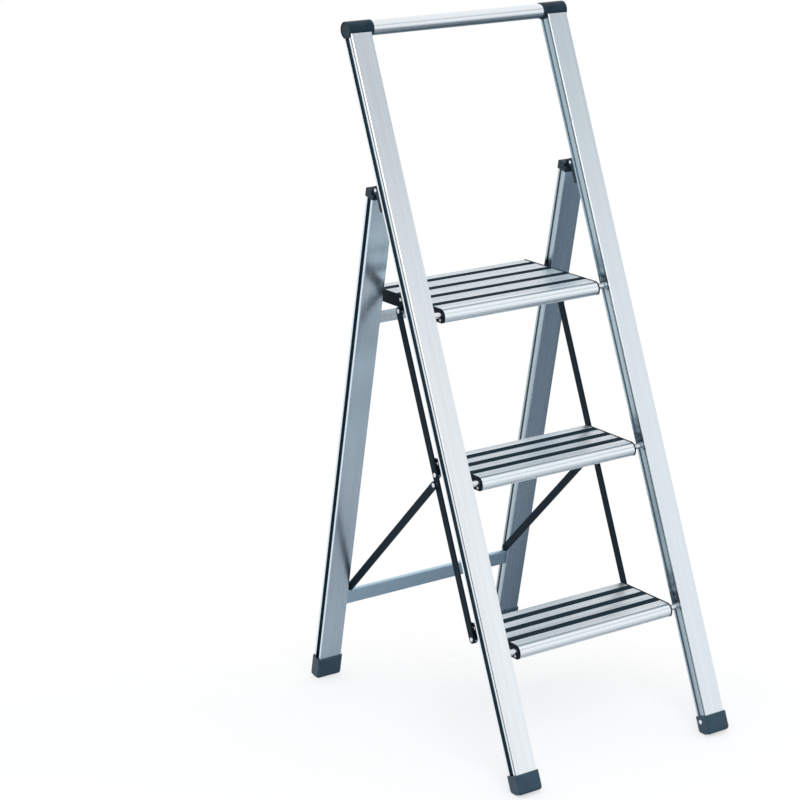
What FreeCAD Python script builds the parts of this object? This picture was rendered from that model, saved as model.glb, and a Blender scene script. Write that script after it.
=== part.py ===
import FreeCAD, Part
import math
import os
import Sketcher
from types import SimpleNamespace

# Three-step folding ladder, standing open. Millimetres, Z up, the front towards -Y.
# Each frame is drawn in its own axes: Y runs back from the front face of its rails and
# Z runs up along them, then the whole frame is leant over by its placement.

DRIVING = [
    ("overall_width", 440, "over the rails"),
    ("front_tilt", 21.6, "degrees the front rails lean back"),
    ("rear_tilt", 12.8, "degrees the rear rails lean forward"),
    ("running_fit", 0.05, "radial clearance of a pivot"),
    ("loose_fit", 0.2, "clearance of a plug"),
    ("rail_wall", 1.5, "wall of the extrusions"),
    ("rail_corner", 1.2, "outer corner radius of the extrusions"),
    ("groove_depth", 5, "channel in the outer sides of the rails"),
    ("inner_groove_depth", 2, "channel in the inner sides of the rails"),
    ("front_rail_width", 40, ""),
    ("front_rail_depth", 25, ""),
    ("front_groove_start", 9.5, "behind the front face"),
    ("front_groove_end", 20.5, "behind the front face"),
    ("slot_start", 3, "thin line near the front face"),
    ("slot_end", 5, ""),
    ("slot_depth", 1.5, ""),
    ("front_rail_start", 17, "rail end above the floor, inside the foot"),
    ("rear_rail_width", 44, ""),
    ("rear_rail_depth", 20, ""),
    ("rear_groove_start", 5, "behind the front face"),
    ("rear_groove_end", 15, "behind the front face"),
    ("rear_rail_start", 12, "rail end above the floor, inside the foot"),
    ("handle_level", 1276.9, "tube axis up along the front rail"),
    ("handle_tube_diameter", 25, ""),
    ("handle_tube_wall", 1.5, ""),
    ("handle_cap_diameter", 28.4, ""),
    ("handle_cap_inset", 6.4, "beyond the inner side of the rail"),
    ("handle_cap_overhang", 2, "beyond the outer side of the rail"),
    ("handle_stub", 36, "plug in the rail, below the tube axis"),
    ("handle_cap_edge", 0.6, "radius of the rims"),
    ("handle_plug_recess", 0.9, "disc face inside the cap rim"),
    ("handle_plug_thickness", 4.6, ""),
    ("foot_wall", 3, ""),
    ("foot_corner", 5, "radius along the sides"),
    ("foot_round", 6, "toe and heel radius"),
    ("foot_roll", 12, "radius between the sole and the square end"),
    ("front_sole_start", 15.6, "level part of the sole behind the rail's front face"),
    ("rear_sole_end", 8, "level part of the sole behind the rail's front face"),
    ("front_foot_top", 38.9, "up along the rail"),
    ("rear_foot_top", 38.6, "up along the rail"),
    ("foot_rivet_level", 29, "up along the rail"),
    ("foot_rivet_tail", 1.5, "rivet beyond the rail side"),
    ("hinge_level", 1013.9, "pin up along the front rail"),
    ("hinge_setback", 32, "pin behind the front face"),
    ("rear_hinge_lead", 4, "pin in front of the rear rail"),
    ("hinge_pin_diameter", 5, ""),
    ("hinge_head_diameter", 6.4, "heads of the hinge pins"),
    ("bracket_bottom", 976.9, "up along the front rail"),
    ("bracket_plate_top", 1002.9, "up along the front rail"),
    ("bracket_plate", 2.5, "sheet thickness"),
    ("bracket_depth", 8, "flanges behind the rail"),
    ("bracket_inset", 0.5, "flange inside the rail side"),
    ("bracket_rivet_inset", 7, "from the ends of the plate"),
    ("ear_radius", 7.5, ""),
    ("tongue_radius", 6.5, ""),
    ("tongue_gap", 0.6, "between tongue and ear"),
    ("tongue_root", 14, "foot of its slope behind the rear rail's front face"),
    ("hinge_cap_wall", 1.2, ""),
    ("hinge_cap_roof", 2, "rail end below the shoulder"),
    ("hinge_cap_corner", 3, "top rear edge"),
    ("hinge_cap_fall", 3.5, "top below the pin"),
    ("hinge_cap_shoulder", 10, "shoulder below the pin"),
    ("hinge_cap_skirt", 19, "lower edge below the pin"),
    ("hinge_cap_back", 8.5, "full-width part behind the pin"),
    ("lowest_step", 231.4, "rod up along the front rail"),
    ("step_spacing", 281, "along the front rail"),
    ("rod_setback", 12.5, "behind the front face"),
    ("rod_diameter", 10, ""),
    ("rod_entry", 8, "rod inside the rail"),
    ("step_length", 323, "over the end caps"),
    ("step_rise", 9.3, "tread above the rod axis"),
    ("step_drop", 12, "underside below the rod axis"),
    ("nose_reach", 10, "nose in front of the rod axis"),
    ("nose_top_radius", 12, ""),
    ("nose_bottom_radius", 9, ""),
    ("nose_drop", 14, "lip below the rod axis"),
    ("nose_lip", 30, "end of the lip behind the rod axis"),
    ("tread_corner", 2, "rear edges"),
    ("top_step_reach", 204, "rear edge behind the rod axis"),
    ("lower_step_reach", 126.5, "rear edge behind the rod axis"),
    ("tread_top_wall", 3.2, ""),
    ("nose_cell_end", 26, "first web behind the rod axis"),
    ("nose_cell_corner", 6, ""),
    ("screw_web", 6, "web with a screw hole"),
    ("screw_rise", 2, "end cap screws above the rod axis"),
    ("screw_diameter", 3.4, ""),
    ("screw_head_diameter", 6.4, ""),
    ("screw_depth", 14, "hole in the web"),
    ("cap_plate", 2, "end cap thickness"),
    ("cap_rim", 0.7, "end cap proud of the tread"),
    ("cap_plug", 10, "end cap inside the tread"),
    ("second_plug_length", 32, "along the tread depth"),
    ("strip_width", 16.5, ""),
    ("strip_depth", 1.4, ""),
    ("strip_proud", 0.4, ""),
    ("top_strip_inset", 28.5, "first strip from the rear edge"),
    ("top_strip_pitch", 47.6, ""),
    ("lower_strip_inset", 27.3, "first strip from the rear edge"),
    ("lower_strip_pitch", 36.2, ""),
    ("rib_pitch", 4.6, "fine lines between the strips"),
    ("rib_line", 1.1, ""),
    ("rib_depth", 0.6, ""),
    ("link_reach", 117, "link pivot behind the rod axis"),
    ("link_drop", 17, "link pivot below the rod axis"),
    ("link_nut", 10, "nut on the inside of the lug"),
    ("link_gap", 2.5, "between end cap and link"),
    ("link_width", 14, ""),
    ("link_thickness", 3, ""),
    ("strut_gap", 2.2, "between link and strut"),
    ("strut_width", 13.6, ""),
    ("strut_thickness", 3, ""),
    ("strut_joint_drop", 15.89, "below the middle link pivot, along the link"),
    ("strut_joint_setback", 3, "behind the link pivots"),
    ("strut_foot_level", 180.23, "up along the rear rail"),
    ("strut_foot_setback", 3.5, "behind the rear rail's front face"),
    ("strut_pivot_entry", 8, "pivot inside the rear rail"),
    ("pivot_diameter", 5, "link and strut pivots"),
    ("head_diameter", 8.4, "rivet heads"),
    ("head_height", 1.5, "rivet heads"),
    ("head_taper", 1.5, "rivet heads, on the diameter"),
    ("side_play", 0.2, "end float of a pivot"),
    ("joint_split", 0.6, "between the two halves of the strut rivet"),
    ("bar_depth", 7, "crossbars, front to back"),
    ("bar_corner", 2, ""),
    ("lower_bar_bottom", 143.6, "up along the rear rail"),
    ("lower_bar_top", 172.6, "up along the rear rail"),
    ("lower_bar_setback", 4, "behind the rear rail's front face"),
    ("upper_bar_bottom", 702.5, "up along the rear rail"),
    ("upper_bar_top", 723.5, "up along the rear rail"),
    ("upper_bar_setback", 5, "behind the rear rail's front face"),
]


class Dim:
    """A size: its number and the sheet expression that gives it."""

    def __init__(self, number, text):
        self.number = number
        self.text = text

    def __add__(self, other):
        other = dim(other)
        return Dim(self.number + other.number, f"({self.text} + {other.text})")

    def __sub__(self, other):
        other = dim(other)
        return Dim(self.number - other.number, f"({self.text} - {other.text})")

    def __mul__(self, other):
        other = dim(other)
        return Dim(self.number * other.number, f"({self.text} * {other.text})")

    def __truediv__(self, other):
        other = dim(other)
        return Dim(self.number / other.number, f"({self.text} / {other.text})")

    def __neg__(self):
        return Dim(-self.number, f"(0 - {self.text})")

    def __rsub__(self, other):
        return dim(other) - self

    def bound(self):
        return "sizes." in self.text


def dim(value):
    if isinstance(value, Dim):
        return value
    return Dim(float(value), f"({float(value)})")


def sine(angle):
    return Dim(math.sin(math.radians(angle.number)), f"sin({angle.text} * 1 deg)")


def cosine(angle):
    return Dim(math.cos(math.radians(angle.number)), f"cos({angle.text} * 1 deg)")


def root(value):
    return Dim(math.sqrt(value.number), f"sqrt({value.text})")


def bind(item, prop, value):
    value = dim(value)
    setattr(item, prop, value.number)
    if value.bound():
        item.setExpression(prop, value.text)


doc = FreeCAD.newDocument("folding_ladder")
sheet = doc.addObject("Spreadsheet::Sheet", "sizes")
for row, (alias, number, note) in enumerate(DRIVING, 1):
    sheet.set(f"A{row}", alias)
    sheet.set(f"B{row}", str(number))
    sheet.set(f"C{row}", note)
    sheet.setAlias(f"B{row}", alias)
doc.recompute()
S = SimpleNamespace(**{row[0]: Dim(float(sheet.get(row[0])), "sizes." + row[0]) for row in DRIVING})

nodes = {}
SIDES = (("left", -1), ("right", 1))
PAST = 1  # how far a cut runs past a face
EDGE_LINES = 3  # fine lines at the nose and at the rear edge of a tread


def flat(u, v):
    return FreeCAD.Vector(u, v, 0)


def ring(u, v, diameter):
    """A circle for a sketch."""
    return {"centre": (dim(u), dim(v)), "diameter": dim(diameter)}


def box(u0, v0, u1, v1):
    return [(u0, v0), (u1, v0), (u1, v1), (u0, v1)]


def rounded(u0, v0, u1, v1, radius):
    """A rectangle with round corners, as a path."""
    return [
        (u0 + radius, v0),
        (u1 - radius, v0, u1 - radius, v0 + radius),
        (u1, v0 + radius),
        (u1, v1 - radius, u1 - radius, v1 - radius),
        (u1 - radius, v1),
        (u0 + radius, v1, u0 + radius, v1 - radius),
        (u0, v1 - radius),
        (u0, v0 + radius, u0 + radius, v0 + radius),
    ]


def draw_ring(sketch, shape):
    u, v = shape["centre"]
    radius = shape["diameter"].number / 2
    circle = Part.Circle(flat(u.number, v.number), FreeCAD.Vector(0, 0, 1), radius)
    index = sketch.addGeometry(circle, False)
    fixed = [("DistanceX", index, 3, u), ("DistanceY", index, 3, v)]
    rule = sketch.addConstraint(Sketcher.Constraint("Diameter", index, shape["diameter"].number))
    if shape["diameter"].bound():
        sketch.setExpression(f"Constraints[{rule}]", shape["diameter"].text)
    return fixed


def draw_path(sketch, path):
    """Draw a closed path, anticlockwise. A corner holds its two coordinates, and two more,
    a centre, where the edge that leaves it is an arc. Arcs turn anticlockwise."""
    path = [[dim(value) for value in corner] for corner in path]
    first = sketch.GeometryCount
    fixed = []
    for index, corner in enumerate(path):
        following = path[(index + 1) % len(path)]
        u, v = corner[0].number, corner[1].number
        next_u, next_v = following[0].number, following[1].number
        geometry = first + index
        fixed.append(("DistanceX", geometry, 1, corner[0]))
        fixed.append(("DistanceY", geometry, 1, corner[1]))
        if len(corner) == 2:
            sketch.addGeometry(Part.LineSegment(flat(u, v), flat(next_u, next_v)), False)
            continue
        mid_u, mid_v = corner[2].number, corner[3].number
        start = math.atan2(v - mid_v, u - mid_u)
        end = math.atan2(next_v - mid_v, next_u - mid_u)
        if end <= start:
            end += 2 * math.pi
        radius = math.hypot(u - mid_u, v - mid_v)
        circle = Part.Circle(flat(mid_u, mid_v), FreeCAD.Vector(0, 0, 1), radius)
        sketch.addGeometry(Part.ArcOfCircle(circle, start, end), False)
        if abs(next_u - u) >= abs(next_v - v):
            fixed.append(("DistanceY", geometry, 3, corner[3]))
        else:
            fixed.append(("DistanceX", geometry, 3, corner[2]))
    joins = []
    for index in range(len(path)):
        following = first + (index + 1) % len(path)
        joins.append(Sketcher.Constraint("Coincident", first + index, 2, following, 1))
    sketch.addConstraint(joins)
    return fixed


def sketch_in(body, name, plane, shapes, level):
    sketch = body.newObject("Sketcher::SketchObject", name)
    support = [item for item in body.Origin.OriginFeatures if item.Role == plane][0]
    sketch.AttachmentSupport = (support, [""])
    sketch.MapMode = "FlatFace"
    level = dim(level)
    sketch.AttachmentOffset = FreeCAD.Placement(FreeCAD.Vector(0, 0, level.number), FreeCAD.Rotation())
    if level.bound():
        sketch.setExpression("AttachmentOffset.Base.z", level.text)
    fixed = []
    for shape in shapes:
        fixed += draw_ring(sketch, shape) if isinstance(shape, dict) else draw_path(sketch, shape)
    rules = [Sketcher.Constraint(*where, value.number) for *where, value in fixed]
    for rule, (*where, value) in zip(sketch.addConstraint(rules), fixed):
        if value.bound():
            sketch.setExpression(f"Constraints[{rule}]", value.text)
    return sketch


def pad(body, name, plane, shapes, start, length):
    """Add the shapes from the level start, along the normal of the plane."""
    feature = body.newObject("PartDesign::Pad", name)
    feature.Profile = sketch_in(body, name + "_sketch", plane, shapes, start)
    bind(feature, "Length", length)


def cut(body, name, plane, shapes, start, length):
    """Remove the shapes from the level start, along the normal of the plane."""
    feature = body.newObject("PartDesign::Pocket", name)
    feature.Profile = sketch_in(body, name + "_sketch", plane, shapes, start)
    feature.Reversed = True
    bind(feature, "Length", length)


def round_edges(body, name, radius, wanted):
    doc.recompute()
    base = body.Tip
    picked = [f"Edge{i}" for i, edge in enumerate(base.Shape.Edges, 1) if wanted(edge)]
    feature = body.newObject("PartDesign::Fillet", name)
    feature.Base = (base, picked)
    bind(feature, "Radius", radius)


def new_body(name, place):
    body = doc.addObject("PartDesign::Body", name)
    body.Label = name
    body.Placement = place
    nodes[name] = body
    return body


def across(side, inner, outer):
    """Start and length along X of a piece between two distances from the middle."""
    inner, outer = dim(inner), dim(outer)
    return (inner if side > 0 else -outer), outer - inner


def turned(name, at, side, sections, along="X"):
    """A fastener of stacked cylinders and cones. Sections hold start, end and one or two diameters,
    measured out from the middle along X, or back along Y."""
    pieces = []
    for number, (start, end, *diameters) in enumerate(sections):
        start, end = dim(start), dim(end)
        wide, narrow = dim(diameters[0]), dim(diameters[-1])
        if side < 0:
            start, end = -end, -start
            wide, narrow = narrow, wide
        kind = "Part::Cylinder" if len(diameters) == 1 else "Part::Cone"
        piece = doc.addObject(kind, f"{name}_{number}")
        if len(diameters) == 1:
            bind(piece, "Radius", wide / 2)
        else:
            bind(piece, "Radius1", wide / 2)
            bind(piece, "Radius2", narrow / 2)
        bind(piece, "Height", end - start)
        if along == "X":
            turn = FreeCAD.Rotation(FreeCAD.Vector(0, 1, 0), 90)
            spot = FreeCAD.Vector(start.number, dim(at[0]).number, dim(at[1]).number)
        else:
            turn = FreeCAD.Rotation(FreeCAD.Vector(1, 0, 0), -90)
            spot = FreeCAD.Vector(dim(at[0]).number, start.number, dim(at[1]).number)
        piece.Placement = FreeCAD.Placement(spot, turn)
        pieces.append(piece)
    whole = doc.addObject("Part::MultiFuse", name)
    whole.Shapes = pieces
    whole.Refine = True
    return whole


def group(name, items, place):
    compound = doc.addObject("Part::Compound", name)
    compound.Label = name
    compound.Links = items
    compound.Placement = place
    nodes[name] = compound


# Positions shared by several pieces

half = S.overall_width / 2
front_inner = half - S.front_rail_width
rear_inner = half - S.rear_rail_width
front_middle = half - S.front_rail_width / 2
rear_middle = half - S.rear_rail_width / 2
step_half = S.step_length / 2
tread_half = step_half - S.cap_plate
link_inner = step_half + S.link_gap
link_outer = link_inner + S.link_thickness
strut_inner = link_outer + S.strut_gap
strut_outer = strut_inner + S.strut_thickness
sin_front, cos_front = sine(S.front_tilt), cosine(S.front_tilt)
sin_rear, cos_rear = sine(S.rear_tilt), cosine(S.rear_tilt)
rear_hinge_level = (
    S.hinge_level * cos_front - S.hinge_setback * sin_front + S.rear_hinge_lead * sin_rear
) / cos_rear
rear_toe = (
    S.hinge_level * sin_front
    + S.hinge_setback * cos_front
    + rear_hinge_level * sin_rear
    + S.rear_hinge_lead * cos_rear
)
front_square = S.front_sole_start * sin_front / cos_front
rear_square = -S.rear_sole_end * sin_rear / cos_rear
front_edge = (
    S.foot_round + (S.foot_wall - S.foot_round) * cos_front - (front_square + S.foot_round) * sin_front
)
rear_edge = (
    rear_toe
    + S.foot_round
    + (S.rear_rail_depth + S.foot_wall - S.foot_round) * cos_rear
    - (rear_square + S.foot_round) * sin_rear
)
front_y = (front_edge - rear_edge) / 2
rear_y = front_y + rear_toe

X_AXIS = FreeCAD.Vector(1, 0, 0)


def lean(y, z, degrees):
    return FreeCAD.Placement(FreeCAD.Vector(0, y, z), FreeCAD.Rotation(X_AXIS, degrees))


def shifted(place, x):
    return FreeCAD.Placement(FreeCAD.Vector(dim(x).number, 0, 0), FreeCAD.Rotation()).multiply(place)


def front_point(setback, level):
    """World Y and Z of a point of the front frame."""
    y = front_y + level * sin_front + setback * cos_front
    return y, level * cos_front - setback * sin_front


def rear_point(setback, level):
    """World Y and Z of a point of the rear frame."""
    y = rear_y - level * sin_rear + setback * cos_rear
    return y, level * cos_rear + setback * sin_rear


front_place = lean(front_y.number, 0, -S.front_tilt.number)
rear_place = lean(rear_y.number, 0, S.rear_tilt.number)
step_levels = {
    "top": S.lowest_step + S.step_spacing * 2,
    "middle": S.lowest_step + S.step_spacing,
    "bottom": S.lowest_step,
}


def rail_profile(width, depth, right_notches, left_notches):
    """Outer path of a rail about its middle. Notches hold start, end and depth from the front."""
    edge = width / 2
    corner = S.rail_corner
    path = [(-edge + corner, 0), (edge - corner, 0, edge - corner, corner), (edge, corner)]
    for start, end, deep in right_notches:
        path += [(edge, start), (edge - deep, start), (edge - deep, end), (edge, end)]
    path += [(edge, depth - corner, edge - corner, depth - corner), (edge - corner, depth)]
    path += [(corner - edge, depth, corner - edge, depth - corner), (-edge, depth - corner)]
    for start, end, deep in reversed(left_notches):
        path += [(-edge, end), (deep - edge, end), (deep - edge, start), (-edge, start)]
    path += [(-edge, corner, corner - edge, corner)]
    return path


def front_foot_outline():
    """Side of a front foot in the axes of its rail: a square end with a level sole under the heel."""
    slope = sin_front / cos_front
    toe, heel = -S.foot_wall, S.front_rail_depth + S.foot_wall
    bend, square, top = S.front_sole_start, front_square, S.front_foot_top
    radius, roll = S.foot_round, S.foot_roll
    heel_run = radius * cos_front / (sin_front + 1)
    heel_end = heel * slope + heel_run
    roll_run = roll * sin_front / (cos_front + 1)
    return [
        (toe + radius, square),
        (bend - roll_run, square, bend - roll_run, square + roll),
        (bend + roll_run * cos_front, square + roll_run * sin_front),
        (heel - heel_run * cos_front, heel * slope - heel_run * sin_front, heel - radius, heel_end),
        (heel, heel_end),
        (heel, top),
        (toe, top),
        (toe, square + radius, toe + radius, square + radius),
    ]


def rear_foot_outline():
    """Side of a rear foot in the axes of its rail: a square end with a level sole under the toe."""
    slope = sin_rear / cos_rear
    toe, heel = -S.foot_wall, S.rear_rail_depth + S.foot_wall
    bend, square, top = S.rear_sole_end, rear_square, S.rear_foot_top
    radius, roll = S.foot_round, S.foot_roll
    toe_run = radius * cos_rear / (sin_rear + 1)
    toe_end = toe_run - toe * slope
    roll_run = roll * sin_rear / (cos_rear + 1)
    return [
        (toe + toe_run * cos_rear, -toe * slope - toe_run * sin_rear),
        (bend - roll_run * cos_rear, square + roll_run * sin_rear, bend + roll_run, square + roll),
        (bend + roll_run, square),
        (heel - radius, square, heel - radius, square + radius),
        (heel, square + radius),
        (heel, top),
        (toe, top),
        (toe, toe_end, toe + radius, toe_end),
    ]


def right_and_left(side, outer, inner):
    """What lies towards +X and -X of a rail, from its outer and inner sides."""
    return (outer, inner) if side > 0 else (inner, outer)


# Front rails, their feet, the handle and the rods

wall = S.rail_wall
front_core = S.front_rail_width / 2 - S.groove_depth - wall


def front_rail_paths(side):
    """Outline and hollow of a front rail."""
    slot = (S.slot_start, S.slot_end, S.slot_depth)
    outer_groove = (S.front_groove_start, S.front_groove_end, S.groove_depth)
    inner_groove = (S.front_groove_start, S.front_groove_end, S.inner_groove_depth)
    notches = right_and_left(side, [slot, outer_groove], [slot, inner_groove])
    lip = S.front_rail_width / 2 - S.slot_depth - wall
    right, left = right_and_left(side, front_core, S.front_rail_width / 2 - S.inner_groove_depth - wall)
    shelf = S.front_groove_start - wall
    hollow = [
        (-lip, wall),
        (lip, wall),
        (lip, shelf),
        (right, shelf),
        (right, S.front_rail_depth - wall),
        (-left, S.front_rail_depth - wall),
        (-left, shelf),
        (-lip, shelf),
    ]
    return [rail_profile(S.front_rail_width, S.front_rail_depth, *notches), hollow]


cap_radius = S.handle_cap_diameter / 2
handle_setback = S.front_rail_depth / 2
horn = handle_setback - wall
front_rail_top = S.handle_level - root(cap_radius * cap_radius - horn * horn)
cap_inner = front_inner - S.handle_cap_inset
cap_outer = half + S.handle_cap_overhang
plug_outer = cap_outer - S.handle_plug_recess
plug_inner = plug_outer - S.handle_plug_thickness
bracket_levels = (S.bracket_bottom + S.bracket_rivet_inset, S.bracket_plate_top - S.bracket_rivet_inset)
small_head = S.head_diameter - S.head_taper
pin_head = S.hinge_head_diameter
bracket_back = S.front_rail_depth + S.bracket_plate
foot_rivets = []
bracket_rivets = []
hinge_pins = []

for side_name, side in SIDES:
    rail_x = front_middle * side
    rail = new_body(f"front_rail_{side_name}", shifted(front_place, rail_x))
    rail_length = front_rail_top - S.front_rail_start
    pad(rail, f"front_rail_{side_name}_extrusion", "XY_Plane", front_rail_paths(side),
        S.front_rail_start, rail_length)
    saddle = [ring(handle_setback, S.handle_level, S.handle_cap_diameter)]
    edge = S.front_rail_width / 2
    cut(rail, f"front_rail_{side_name}_saddle", "YZ_Plane", saddle,
        -edge - PAST, S.front_rail_width + PAST * 2)
    rod_holes = [
        ring(S.rod_setback, level, S.rod_diameter + S.running_fit * 2) for level in step_levels.values()
    ]
    rod_span = across(-side, edge - S.rod_entry - PAST, edge + PAST)
    cut(rail, f"front_rail_{side_name}_rod_holes", "YZ_Plane", rod_holes, *rod_span)
    rivet_holes = [ring(0, level, S.screw_diameter) for level in bracket_levels]
    cut(rail, f"front_rail_{side_name}_rivet_holes", "XZ_Plane", rivet_holes,
        -S.front_rail_depth - PAST, wall + PAST * 2)

    foot = new_body(f"front_foot_{side_name}", shifted(front_place, rail_x))
    foot_side = front_foot_outline()
    foot_edge = edge + S.foot_wall
    pad(foot, f"front_foot_{side_name}_block", "YZ_Plane", [foot_side], -foot_edge, foot_edge * 2)
    round_edges(foot, f"front_foot_{side_name}_corners", S.foot_corner,
                lambda e: abs(e.tangentAt(e.FirstParameter).z) > 0.9)
    gap = S.running_fit
    socket = [box(-edge - gap, -gap, edge + gap, S.front_rail_depth + gap)]
    cut(foot, f"front_foot_{side_name}_socket", "XY_Plane", socket, S.front_rail_start, S.front_foot_top)
    rivet_y = (S.front_groove_start + S.front_groove_end) / 2
    foot_hole = [ring(rivet_y, S.foot_rivet_level, S.screw_diameter)]
    cut(foot, f"front_foot_{side_name}_hole", "YZ_Plane", foot_hole,
        *across(-side, edge - PAST, foot_edge + PAST))
    face = front_inner - S.foot_wall
    foot_rivets.append(turned(f"front_foot_rivet_{side_name}", (rivet_y, S.foot_rivet_level), side, [
        (face - S.head_height, face, small_head, S.head_diameter),
        (face, front_inner + S.foot_rivet_tail, S.screw_diameter),
    ]))

    cap = new_body(f"handle_cap_{side_name}", front_place)
    cap_span = across(side, cap_inner, cap_outer)
    pad(cap, f"handle_cap_{side_name}_sleeve", "YZ_Plane",
        [ring(handle_setback, S.handle_level, S.handle_cap_diameter)], *cap_span)
    stub_edge = front_core - S.loose_fit
    stub = [box(S.front_groove_start, S.handle_level - S.handle_stub,
                S.front_rail_depth - wall - S.loose_fit, S.handle_level)]
    pad(cap, f"handle_cap_{side_name}_stub", "YZ_Plane", stub,
        *across(side, front_middle - stub_edge, front_middle + stub_edge))
    bore = [ring(handle_setback, S.handle_level, S.handle_tube_diameter + S.running_fit * 2)]
    cut(cap, f"handle_cap_{side_name}_bore", "YZ_Plane", bore, cap_span[0] - PAST, cap_span[1] + PAST * 2)
    round_edges(cap, f"handle_cap_{side_name}_rims", S.handle_cap_edge,
                lambda e: e.Curve.TypeId == "Part::GeomCircle"
                and abs(e.Curve.Radius - cap_radius.number) < 0.01 and e.isClosed())

    plug = new_body(f"handle_plug_{side_name}", front_place)
    disc = [ring(handle_setback, S.handle_level, S.handle_tube_diameter)]
    pad(plug, f"handle_plug_{side_name}_disc", "YZ_Plane", disc, *across(side, plug_inner, plug_outer))

    bracket = new_body(f"hinge_bracket_{side_name}", shifted(front_place, rail_x))
    flange_out = edge - S.bracket_inset
    flange_in = flange_out - S.bracket_plate
    back = S.front_rail_depth
    pad(bracket, f"hinge_bracket_{side_name}_plate", "YZ_Plane",
        [box(back, S.bracket_bottom, bracket_back, S.bracket_plate_top)], -flange_out, flange_out * 2)
    flange_back = back + S.bracket_depth
    over = flange_back - S.hinge_setback
    under = S.hinge_setback - back
    ear = S.ear_radius
    flange = [
        (back, S.bracket_bottom),
        (flange_back, S.bracket_bottom),
        (flange_back, S.hinge_level - root(ear * ear - over * over), S.hinge_setback, S.hinge_level),
        (back, S.hinge_level + root(ear * ear - under * under)),
    ]
    pin_hole = ring(S.hinge_setback, S.hinge_level, S.hinge_pin_diameter)
    pad(bracket, f"hinge_bracket_{side_name}_ear_a", "YZ_Plane", [flange], flange_in, S.bracket_plate)
    pad(bracket, f"hinge_bracket_{side_name}_ear_b", "YZ_Plane", [flange], -flange_out, S.bracket_plate)
    cut(bracket, f"hinge_bracket_{side_name}_pin_holes", "YZ_Plane", [pin_hole],
        -flange_out - PAST, flange_out * 2 + PAST * 2)
    cut(bracket, f"hinge_bracket_{side_name}_rivet_holes", "XZ_Plane", rivet_holes,
        -bracket_back - PAST, S.bracket_plate + PAST * 2)
    for number, level in enumerate(bracket_levels):
        bracket_rivets.append(turned(f"bracket_rivet_{side_name}_{number}", (rail_x, level), 1, [
            (back - wall, bracket_back, S.screw_diameter),
            (bracket_back, bracket_back + S.head_height, S.head_diameter, small_head),
        ], "Y"))
    ear_in = front_middle - flange_out
    ear_out = front_middle + flange_out
    hinge_pins.append(turned(f"hinge_pin_{side_name}", (S.hinge_setback, S.hinge_level), side, [
        (ear_in - S.head_height, ear_in, pin_head - S.head_taper, pin_head),
        (ear_in, ear_out, S.hinge_pin_diameter),
        (ear_out, ear_out + S.head_height, pin_head, pin_head - S.head_taper),
    ]))

group("front_foot_rivets", foot_rivets, front_place)
group("hinge_bracket_rivets", bracket_rivets, front_place)
group("hinge_pins", hinge_pins, front_place)

tube = new_body("handle_tube", front_place)
tube_bore = S.handle_tube_diameter - S.handle_tube_wall * 2
tube_rings = [
    ring(handle_setback, S.handle_level, S.handle_tube_diameter),
    ring(handle_setback, S.handle_level, tube_bore),
]
pad(tube, "handle_tube_pipe", "YZ_Plane", tube_rings, -plug_inner, plug_inner * 2)

for step_name, level in step_levels.items():
    rod = new_body(f"step_rod_{step_name}", front_place)
    rod_end = front_inner + S.rod_entry
    pad(rod, f"step_rod_{step_name}_bar", "YZ_Plane", [ring(S.rod_setback, level, S.rod_diameter)],
        -rod_end, rod_end * 2)

# Rear rails, their feet and hinge caps


def rear_rail_paths(side):
    """Outline and hollow of a rear rail."""
    outer_groove = (S.rear_groove_start, S.rear_groove_end, S.groove_depth)
    inner_groove = (S.rear_groove_start, S.rear_groove_end, S.inner_groove_depth)
    notches = right_and_left(side, [outer_groove], [inner_groove])
    solid = S.rear_rail_width / 2 - wall
    right, left = right_and_left(side, solid - S.groove_depth, solid - S.inner_groove_depth)
    hollow = box(-left, wall, right, S.rear_rail_depth - wall)
    return [rail_profile(S.rear_rail_width, S.rear_rail_depth, *notches), hollow]


rear_rail_top = rear_hinge_level - S.hinge_cap_shoulder - S.hinge_cap_roof
rear_foot_rivets = []
strut_pivots = []

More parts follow.
